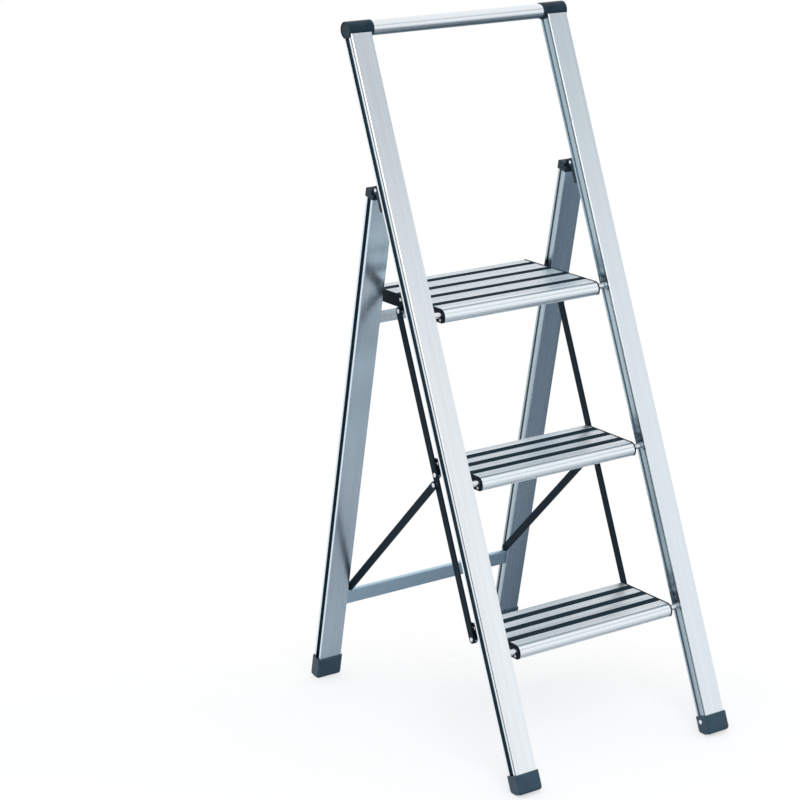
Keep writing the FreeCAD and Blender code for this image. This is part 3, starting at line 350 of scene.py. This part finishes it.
def make_dark_skin(name, dark, light, roughness, grain, relief, edge_radius, specular):
    """Moulded or painted dark surface with fine grain, faint clouding and paler corners."""
    finish, tree, shader, place = new_finish(name, 0, specular)
    shader["Specular Tint"].default_value = SHEEN_BLUE
    skin = use_group(tree, moulded_grain, {"Grain per metre": grain, "Clouds per metre": 45})
    edge = use_group(tree, soft_edge, {"Radius": edge_radius})
    join(tree, (place, skin.inputs["Vector"]))
    tone = blend(tree, skin.outputs["Clouds"], dark, light)
    pale = [value * PALE_SHARE for value in light]
    paled_corners = blend(tree, reckon(tree, "MULTIPLY", edge.outputs["Edge"], 0.45), tone, pale)
    join(tree, (paled_corners, shader["Base Color"]),
         (spread(tree, skin.outputs["Clouds"], 0, 1, roughness - 0.06, roughness + 0.06),
          shader["Roughness"]))
    add_relief(tree, shader, skin.outputs["Grain"], relief, GRAIN_RELIEF, edge.outputs["Normal"])
    return finish


def make_bright_steel(name, dark, light, roughness, turn_by):
    """Plated or drawn steel: cloudy plating, light tool lines and soft corners."""
    finish, tree, shader, place = new_finish(name, 1, 0.5, turn_by)
    die = use_group(tree, extrusion_lines, {"Lines per metre": 2400, "Run": 60})
    skin = use_group(tree, moulded_grain, {"Grain per metre": 2600, "Clouds per metre": 220})
    edge = use_group(tree, soft_edge, {"Radius": 0.0004})
    join(tree, (place, die.inputs["Vector"]), (place, skin.inputs["Vector"]),
         (blend(tree, skin.outputs["Clouds"], dark, light), shader["Base Color"]),
         (spread(tree, die.outputs["Hairlines"], 0, 1, roughness - 0.05, roughness + 0.06),
          shader["Roughness"]))
    add_relief(tree, shader, die.outputs["Hairlines"], 0.1, LINE_RELIEF, edge.outputs["Normal"])
    return finish


def paint(finish, *names):
    """The finish on every material slot of these solids."""
    for name in names:
        for slot in parts[name].material_slots:
            slot.material = finish


def both(*stems):
    """The names of the left and right pieces of some kinds."""
    return [f"{stem}_{side}" for stem in stems for side, _ in SIDES]


def each_step(*stems):
    """The names of the three steps' pieces of some kinds."""
    return [f"{stem}_{step}" for stem in stems for step in STEPS]


for side_name, side in SIDES:
    # Painted shade on the inner sides of the rails.
    inner_side_shade = ((-side, 0, 0), INNER_SHADE_GREYS)
    # Painted shade: each rail takes the greys of its own side, darker on the right and at the rear.
    paint(make_aluminium(f"front_rail_satin_shaded_by_side_{side_name}", ALONG_FRONT, FRONT_GREYS_SHADED_BY_SIDE[side_name], 0.24,
                         side_shade=inner_side_shade, channel=True), f"front_rail_{side_name}")
    paint(make_aluminium(f"rear_rail_satin_shaded_by_side_{side_name}", ALONG_REAR, REAR_GREYS_SHADED_BY_SIDE[side_name], 0.24,
                         side_shade=inner_side_shade, channel=True), f"rear_rail_{side_name}")
for step in STEPS:
    tread_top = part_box(f"tread_{step}")[1][2]
    # Painted shade: the tread's top takes darker greys than its nose.
    paint(make_aluminium(f"tread_satin_{step}", ALONG_X, TREAD_GREYS, 0.26, TREAD_LINES,
                         side_shade=((0, 0, 1), TOP_SHADE_GREYS), top=tread_top), f"tread_{step}")
# Painted shade: the lower bar's greys are darker than the upper bar's.
paint(make_aluminium("lower_bar_satin_shaded", ALONG_X, LOWER_BAR_SHADED_GREYS, 0.30), "lower_crossbar")
paint(make_aluminium("upper_bar_satin", ALONG_X, UPPER_BAR_GREYS, 0.28), "upper_crossbar")
# Painted shade on the underside of the handle tube.
paint(make_aluminium("handle_satin", ALONG_X, HANDLE_GREYS, 0.24, side_shade=(UNDER_WAY, UNDER_SHADE_GREYS)),
      "handle_tube")
plastic_finish = make_dark_skin("moulded_black", (0.008, 0.020, 0.030), (0.014, 0.030, 0.043),
                                0.38, PLASTIC_GRAIN, 0.2, 0.0009, 0.22)
cap_finish = make_dark_skin("moulded_cap_black", (0.003, 0.008, 0.013), (0.006, 0.013, 0.020),
                            0.50, PLASTIC_GRAIN, 0.2, 0.0009, 0.08)
foot_finish = make_dark_skin("moulded_dark_grey", (0.027, 0.051, 0.072), (0.038, 0.067, 0.091),
                             0.40, PLASTIC_GRAIN, 0.2, 0.0012, 0.3)
strip_finish = make_dark_skin("strip_rubber_dark", (0.006, 0.018, 0.028), (0.011, 0.026, 0.038),
                              0.72, 2600, 0.4, 0.0003, 0.12)
link_finish = make_dark_skin("link_dark_paint", (0.004, 0.011, 0.018), (0.007, 0.017, 0.027),
                             0.46, 900, 0.12, 0.0005, 0.08)
rivet_finish = make_bright_steel("zinc_plated", (0.66, 0.70, 0.74), (0.82, 0.85, 0.88), 0.26, ALONG_X)
rod_finish = make_bright_steel("bright_drawn", (0.76, 0.79, 0.82), (0.88, 0.90, 0.92), 0.22, ALONG_X)
paint(plastic_finish, *both("handle_cap", "handle_plug", "hinge_bracket", "hinge_cap"))
paint(cap_finish, *both("step_cap_top", "step_cap_middle", "step_cap_bottom"))
paint(foot_finish, *both("front_foot", "rear_foot"))
paint(link_finish, *both("link_bar", "strut"))
paint(rivet_finish, "hinge_bracket_rivets")
paint(rod_finish, *each_step("step_rod"))


# Pieces grown by geometry nodes


def grow(name, seed_mesh, tree, values):
    """A plain mesh object from a geometry tree, with its inputs given by name."""
    seed = bpy.data.objects.new(f"{name}_seed", seed_mesh)
    scene.collection.objects.link(seed)
    modifier = seed.modifiers.new("shape", "NODES")
    modifier.node_group = tree
    for item in tree.interface.items_tree:
        if item.in_out == "INPUT" and item.name in values:
            modifier[item.identifier] = values[item.name]
    graph = bpy.context.evaluated_depsgraph_get()
    mesh = bpy.data.meshes.new_from_object(seed.evaluated_get(graph), depsgraph=graph)
    bpy.data.objects.remove(seed)
    piece = bpy.data.objects.new(name, mesh)
    scene.collection.objects.link(piece)
    return piece


def make_strip_tree():
    """Anti-slip strips side by side, each with ribs along its length and a flat underside."""
    tree, given, result = new_group("ribbed_strips", "GeometryNodeTree", [
        ("Length", "NodeSocketFloat"),
        ("Width", "NodeSocketFloat"),
        ("Thickness", "NodeSocketFloat"),
        ("Ribs", "NodeSocketInt"),
        ("Rib depth", "NodeSocketFloat"),
        ("Strips", "NodeSocketInt"),
        ("First strip", "NodeSocketVector"),
        ("Spacing", "NodeSocketVector"),
        ("Finish", "NodeSocketMaterial"),
    ], [("Geometry", "NodeSocketGeometry")])
    sheet = put(tree, "GeometryNodeMeshGrid", None, {"Vertices X": 2})
    rows = reckon(tree, "MULTIPLY_ADD", given["Ribs"], RIB_ROWS, 1)
    place = put(tree, "GeometryNodeInputPosition")
    split = put(tree, "ShaderNodeSeparateXYZ")
    across = reckon(tree, "ADD", reckon(tree, "DIVIDE", split.outputs["Y"], given["Width"]), 0.5)
    turns = reckon(tree, "MULTIPLY", reckon(tree, "MULTIPLY", across, given["Ribs"]), math.pi)
    crest = reckon(tree, "ABSOLUTE", reckon(tree, "SINE", turns))
    drop = reckon(tree, "MULTIPLY", reckon(tree, "SUBTRACT", crest, 1), given["Rib depth"])
    sink = put(tree, "ShaderNodeCombineXYZ")
    ribbed = put(tree, "GeometryNodeSetPosition")
    below = put(tree, "FunctionNodeInputVector", {"vector": (0, 0, -1)})
    down = put(tree, "GeometryNodeExtrudeMesh", None, {"Individual": False})
    depth = reckon(tree, "SUBTRACT", given["Thickness"], given["Rib depth"])
    outside = put(tree, "GeometryNodeFlipFaces")
    shell = put(tree, "GeometryNodeJoinGeometry")
    closed = put(tree, "GeometryNodeMergeByDistance", None, {"Distance": STRIP_WELD})
    row = put(tree, "GeometryNodeMeshLine")
    copies = put(tree, "GeometryNodeInstanceOnPoints")
    real = put(tree, "GeometryNodeRealizeInstances")
    coated = put(tree, "GeometryNodeSetMaterial")
    join(tree, (given["Length"], sheet.inputs["Size X"]), (given["Width"], sheet.inputs["Size Y"]),
         (rows, sheet.inputs["Vertices Y"]), (place.outputs[0], split.inputs[0]), (drop, sink.inputs["Z"]),
         (sheet.outputs["Mesh"], ribbed.inputs["Geometry"]), (sink.outputs[0], ribbed.inputs["Offset"]),
         (ribbed.outputs[0], down.inputs["Mesh"]), (depth, down.inputs["Offset Scale"]),
         (below.outputs[0], down.inputs["Offset"]),
         (down.outputs["Mesh"], outside.inputs["Mesh"]), (outside.outputs[0], shell.inputs[0]),
         (ribbed.outputs[0], shell.inputs[0]), (shell.outputs[0], closed.inputs["Geometry"]),
         (given["Strips"], row.inputs["Count"]), (given["First strip"], row.inputs["Start Location"]),
         (given["Spacing"], row.inputs["Offset"]), (row.outputs[0], copies.inputs["Points"]),
         (closed.outputs[0], copies.inputs["Instance"]), (copies.outputs[0], real.inputs[0]),
         (real.outputs[0], coated.inputs["Geometry"]), (given["Finish"], coated.inputs["Material"]),
         (coated.outputs[0], result[0]))
    return tree


def lay_strips(step):
    """The ribbed strips of one step, in the places of its plain ones."""
    low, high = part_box(f"tread_strips_{step}")
    count = STRIP_COUNTS[step]
    pitch = (high[1] - low[1] - STRIP_WIDTH) / (count - 1)
    strips = grow(f"ribbed_strips_{step}", bpy.data.meshes.new("strip_seed"), strip_tree, {
        "Length": high[0] - low[0],
        "Width": STRIP_WIDTH,
        "Thickness": high[2] - low[2],
        "Ribs": STRIP_RIBS,
        "Rib depth": RIB_DEPTH,
        "Strips": count,
        "First strip": (0, low[1] + STRIP_WIDTH / 2, high[2]),
        "Spacing": (0, pitch, 0),
        "Finish": strip_finish,
    })
    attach(strips, f"step_{step}")
    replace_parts(strips, f"tread_strips_{step}")


def make_fastener_tree():
    """One turned fastener on each point, standing along the point's facing direction."""
    tree, given, result = new_group("set_fasteners", "GeometryNodeTree", [
        ("Geometry", "NodeSocketGeometry"),
        ("Fastener", "NodeSocketObject"),
        ("Finish", "NodeSocketMaterial"),
    ], [("Geometry", "NodeSocketGeometry")])
    shape = put(tree, "GeometryNodeObjectInfo")
    facing = put(tree, "GeometryNodeInputNamedAttribute", {"data_type": "FLOAT_VECTOR"},
                 {"Name": "facing"})
    stand = put(tree, "FunctionNodeAlignRotationToVector", {"axis": "Z"})
    copies = put(tree, "GeometryNodeInstanceOnPoints")
    real = put(tree, "GeometryNodeRealizeInstances")
    coated = put(tree, "GeometryNodeSetMaterial")
    join(tree, (given["Fastener"], shape.inputs["Object"]),
         (facing.outputs["Attribute"], stand.inputs["Vector"]),
         (given["Geometry"], copies.inputs["Points"]),
         (shape.outputs["Geometry"], copies.inputs["Instance"]),
         (stand.outputs[0], copies.inputs["Rotation"]), (copies.outputs[0], real.inputs[0]),
         (real.outputs[0], coated.inputs["Geometry"]), (given["Finish"], coated.inputs["Material"]),
         (coated.outputs[0], result[0]))
    return tree


strip_tree = make_strip_tree()
fastener_tree = make_fastener_tree()


def far_head(level, radius=HEAD_RADIUS, height=HEAD_HEIGHT):
    """Rim to middle of a domed head that starts at a level, as (radius, level) pairs."""
    angles = [math.pi / 2 * step / DOME_STEPS for step in range(DOME_STEPS + 1)]
    shares = [HEAD_RIM_SHARE + (1 - HEAD_RIM_SHARE) * math.sin(angle) for angle in angles]
    return [(radius, level)] + [
        (radius * math.cos(angle), level + height * share) for angle, share in zip(angles, shares)
    ]


def near_head(level, radius=HEAD_RADIUS, height=HEAD_HEIGHT):
    """Middle to rim of a domed head that ends at a level."""
    return [(spot, 2 * level - along) for spot, along in reversed(far_head(level, radius, height))]


def turn_fastener(name, outline):
    """A closed turned solid about Z from (radius, level) pairs that start and end on the axis."""
    work = bmesh.new()
    chain = [work.verts.new((radius, 0, level)) for radius, level in outline]
    for first, second in zip(chain, chain[1:]):
        work.edges.new((first, second))
    bmesh.ops.spin(work, geom=work.verts[:] + work.edges[:], axis=(0, 0, 1), cent=(0, 0, 0),
                   angle=2 * math.pi, steps=TURN_STEPS)
    bmesh.ops.remove_doubles(work, verts=work.verts[:], dist=TURN_WELD)
    bmesh.ops.recalc_face_normals(work, faces=work.faces[:])
    for face in work.faces:
        face.smooth = True
    mesh = bpy.data.meshes.new(name)
    work.to_mesh(mesh)
    work.free()
    mesh.set_sharp_from_angle(angle=SHARP_ANGLE)
    return mesh


def cut_cross(mesh):
    """Press a cross recess into the head of a screw."""
    for vertex in mesh.vertices:
        x, y, z = vertex.co
        near, far = sorted((abs(x), abs(y)))
        if z > CROSS_START and near < CROSS_WIDTH / 2 and far < CROSS_LENGTH / 2:
            vertex.co.z = z - CROSS_DEPTH


def turn_pieces(name, body, outline, spots, cross=False, finish=rivet_finish):
    """Turned fasteners at (place, facing) spots, moving with a body."""
    mesh = turn_fastener(f"{name}_shape", outline)
    if cross:
        cut_cross(mesh)
    shape = bpy.data.objects.new(f"{name}_shape", mesh)
    scene.collection.objects.link(shape)
    seed = bpy.data.meshes.new(f"{name}_seed")
    seed.from_pydata([place for place, _ in spots], [], [])
    directions = seed.attributes.new("facing", "FLOAT_VECTOR", "POINT")
    for item, (_, facing) in zip(directions.data, spots):
        item.vector = facing
    piece = grow(f"{name}_turned", seed, fastener_tree, {"Fastener": shape, "Finish": finish})
    bpy.data.objects.remove(shape)
    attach(piece, body)
    return piece


def set_fasteners(node, *details, **looks):
    """Turned fasteners instead of the plain ones of a node."""
    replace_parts(turn_pieces(node, *details, **looks), node)


def middle_of(node):
    """Y and Z of the middle of a node's box."""
    low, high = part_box(node)
    return (low[1] + high[1]) / 2, (low[2] + high[2]) / 2


def facing_out(node, distance, shift=(0, 0)):
    """One spot each side at a distance from the middle plane, facing out, on the axis of a node
    or shifted from it back and up."""
    y, z = middle_of(node)
    return [((side * distance, y + shift[0], z + shift[1]), (side, 0, 0)) for _, side in SIDES]


def facing_in(node, distance):
    """One spot each side at a distance from the middle plane, facing in, on the axis of a node."""
    y, z = middle_of(node)
    return [((side * distance, y, z), (-side, 0, 0)) for _, side in SIDES]


def rivet_outline(tail, shank=RIVET_RADIUS, radius=HEAD_RADIUS):
    """A domed rivet with its head at level 0 and a shank behind it."""
    return [(0, -tail), (shank, -tail), (shank, 0)] + far_head(0, radius)


def fasten():
    """Every pin, rivet and screw of the ladder, with its place read from the solids it holds."""
    ear_in, ear_out = (corner[0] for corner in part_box("hinge_bracket_right"))
    strut_in, strut_out = (corner[0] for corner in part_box("strut_right"))
    link_in, link_out = (corner[0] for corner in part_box("link_bar_right"))
    rail_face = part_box("rear_rail_right")[0][0]
    tread_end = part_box("tread_top")[1][0]
    cap_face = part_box("step_cap_top_right")[1][0]

    ears = ear_out - ear_in
    hinge_pin = near_head(0, HINGE_HEAD_RADIUS) + [(PIN_RADIUS, 0), (PIN_RADIUS, ears)]
    hinge_pin += far_head(ears, HINGE_HEAD_RADIUS)
    set_fasteners("hinge_pins", "front_frame", hinge_pin, facing_out("hinge_pins", ear_in))

    for end in ("front", "rear"):
        inner_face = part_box(f"{end}_foot_right")[0][0]
        node = f"{end}_foot_rivets"
        set_fasteners(node, f"{end}_frame", rivet_outline(FOOT_RIVET_TAIL), facing_in(node, inner_face))

    collar_start, collar_end = strut_out + END_FLOAT * 2 - strut_in, rail_face + END_FLOAT - strut_in
    strut_pivot = near_head(0) + [(PIN_RADIUS, 0), (PIN_RADIUS, collar_start), (HEAD_RADIUS, collar_start),
                                  (HEAD_RADIUS, collar_end), (0, collar_end)]
    pivot_spots = facing_out("strut_pivots", strut_in - END_FLOAT)
    set_fasteners("strut_pivots", "rear_frame", strut_pivot, pivot_spots, finish=link_finish)

    link = link_out - link_in
    stud_end = strut_in - 3 * END_FLOAT - link_in
    strut_stud = near_head(0) + [(PIN_RADIUS, 0), (PIN_RADIUS, link), (WASHER_RADIUS, link),
                                 (WASHER_RADIUS, stud_end), (0, stud_end)]
    strut_rivet = rivet_outline(strut_out - strut_in, PIN_RADIUS)
    for index, (side_name, _) in enumerate(SIDES):
        node = f"strut_stud_{side_name}"
        set_fasteners(node, f"link_{side_name}", strut_stud, facing_out(node, link_in)[index:index + 1])
        node = f"strut_rivet_{side_name}"
        set_fasteners(node, f"brace_{side_name}", strut_rivet, facing_out(node, strut_out)[index:index + 1])

    lug = cap_face - tread_end
    collar = link_in - END_FLOAT - tread_end
    head = link_out + END_FLOAT - tread_end
    link_pin = near_head(-NUT_COLLAR, height=NUT_LENGTH - NUT_COLLAR) + [
        (HEAD_RADIUS, 0), (PIN_RADIUS, 0), (PIN_RADIUS, lug), (COLLAR_RADIUS, lug), (COLLAR_RADIUS, collar),
        (PIN_RADIUS, collar), (PIN_RADIUS, head),
    ] + far_head(head)
    lug_rivet = rivet_outline(LUG_RIVET_TAIL, THIN_SHANK, LUG_RIVET_RADIUS)
    nose_screw = rivet_outline(NOSE_SCREW_TAIL, THIN_SHANK, NOSE_SCREW_RADIUS)
    for step in STEPS:
        node = f"link_pins_{step}"
        set_fasteners(node, f"step_{step}", link_pin, facing_out(node, tread_end))
        spots = facing_out(node, cap_face, LUG_RIVET_SHIFT)
        turn_pieces(f"lug_rivets_{step}", f"step_{step}", lug_rivet, spots)
        spots = facing_out(f"step_rod_{step}", cap_face, NOSE_SCREW_SHIFT)
        turn_pieces(f"nose_screws_{step}", f"step_{step}", nose_screw, spots, cross=True)
        node = f"step_cap_screws_{step}"
        low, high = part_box(node)
        rows = (low[1] + SCREW_HEAD_RADIUS, high[1] - SCREW_HEAD_RADIUS)
        level = (low[2] + high[2]) / 2
        spots = [((side * cap_face, y, level), (side, 0, 0)) for y in rows for _, side in SIDES]
        screw = rivet_outline(SCREW_TAIL, radius=SCREW_HEAD_RADIUS)
        set_fasteners(node, f"step_{step}", screw, spots, cross=True)


for step in STEPS:
    lay_strips(step)
fasten()


# Studio

FLOOR_CORNERS = 96


def make_camera(place, down, right, focal_length, shift):
    """The camera at a place, turned down and to the right of +Y by angles in degrees."""
    lens = bpy.data.cameras.new("product_view")
    lens.sensor_width = 36
    lens.lens = focal_length
    lens.shift_x = shift
    camera = bpy.data.objects.new("product_view", lens)
    camera.location = place
    camera.rotation_euler = (math.radians(90 - down), 0, math.radians(-right))
    scene.collection.objects.link(camera)
    scene.camera = camera


def make_floor(middle, full, rim, weight):
    """A thin round floor that takes the shadow and runs out between two distances from its middle."""
    angles = [2 * math.pi * index / FLOOR_CORNERS for index in range(FLOOR_CORNERS)]
    mesh = bpy.data.meshes.new("studio_floor")
    mesh.from_pydata([
        (middle[0] + rim * math.cos(angle), middle[1] + rim * math.sin(angle), 0) for angle in angles
    ], [], [list(range(FLOOR_CORNERS))])
    floor = bpy.data.objects.new("studio_floor", mesh)
    scene.collection.objects.link(floor)
    paper = bpy.data.materials.new("studio_paper")
    paper.use_nodes = True
    tree = paper.node_tree
    shader = tree.nodes["Principled BSDF"].inputs
    shader["Base Color"].default_value = (0.92, 0.93, 0.94, 1)
    shader["Roughness"].default_value = 0.9
    shader["Specular IOR Level"].default_value = 0.1
    place = put(tree, "ShaderNodeTexCoord")
    distance = put(tree, "ShaderNodeVectorMath", {"operation": "DISTANCE"})
    distance.inputs[1].default_value = (*middle, 0)
    join(tree, (place.outputs["Object"], distance.inputs[0]),
         (spread(tree, distance.outputs["Value"], full, rim, weight, 0), shader["Alpha"]))
    mesh.materials.append(paper)


def sky(tree, height, stops):
    """A colour ramp up the surround; stops are (Z of the direction, colour)."""
    ramp = put(tree, "ShaderNodeValToRGB")
    elements = ramp.color_ramp.elements
    while len(elements) < len(stops):
        elements.new(0.5)
    for element, (level, colour) in zip(elements, stops):
        element.position = (level + 1) / 2
        element.color = (*colour, 1)
    join(tree, (height, ramp.inputs[0]))
    return ramp.outputs[0]


def make_surround():
    """A white backdrop behind the ladder; in front a bright band at eye height over a dark room, with
    a dim gap between it and a bright ceiling."""
    world = bpy.data.worlds.new("studio_surround")
    world.use_nodes = True
    tree = world.node_tree
    place = put(tree, "ShaderNodeTexCoord")
    split = put(tree, "ShaderNodeSeparateXYZ")
    height = spread(tree, split.outputs["Z"], -1, 1, 0, 1)
    join(tree, (place.outputs["Generated"], split.inputs[0]))
    behind = sky(tree, height, [
        (-1, (0.45, 0.52, 0.58)), (-0.56, (0.45, 0.52, 0.58)), (-0.47, (1, 1, 1)), (0.45, (1, 1, 1)),
        (0.70, (0.96, 0.97, 0.98)), (1, (0.96, 0.97, 0.98)),
    ])
    before = sky(tree, height, [
        (-1, (0.11, 0.14, 0.17)), (-0.48, (0.13, 0.16, 0.20)), (-0.28, (0.62, 0.68, 0.73)),
        (0.02, (0.96, 0.98, 1)), (0.385, (0.98, 0.99, 1)), (0.445, (0.26, 0.32, 0.37)),
        (0.49, (0.34, 0.40, 0.46)), (0.57, (0.92, 0.94, 0.96)), (1, (0.96, 0.97, 0.98)),
    ])
    side = spread(tree, split.outputs["Y"], -0.15, 0.25, 0, 1)
    join(tree, (blend(tree, side, before, behind), tree.nodes["Background"].inputs["Color"]))
    scene.world = world


def make_softbox(name, place, aim, width, height, watts):
    """A rectangular area lamp at a place, turned towards a point."""
    lamp = bpy.data.lights.new(name, "AREA")
    lamp.shape = "RECTANGLE"
    lamp.size = width
    lamp.size_y = height
    lamp.energy = watts
    box = bpy.data.objects.new(name, lamp)
    box.location = place
    box.rotation_euler = (Vector(aim) - Vector(place)).to_track_quat("-Z", "Y").to_euler()
    scene.collection.objects.link(box)


make_camera(place=(-2.391403, -3.255593, 1.754913), down=16.535, right=36.442, focal_length=111.721,
            shift=-0.15)
make_floor(middle=(-1.0, -1.2), full=1.65, rim=1.92, weight=0.40)
make_surround()
make_softbox("key_softbox", place=(-1.0, -2.6, 2.8), aim=(0, 0, 0.6), width=1.8, height=1.8, watts=42)
scene.view_settings.view_transform = "Standard"
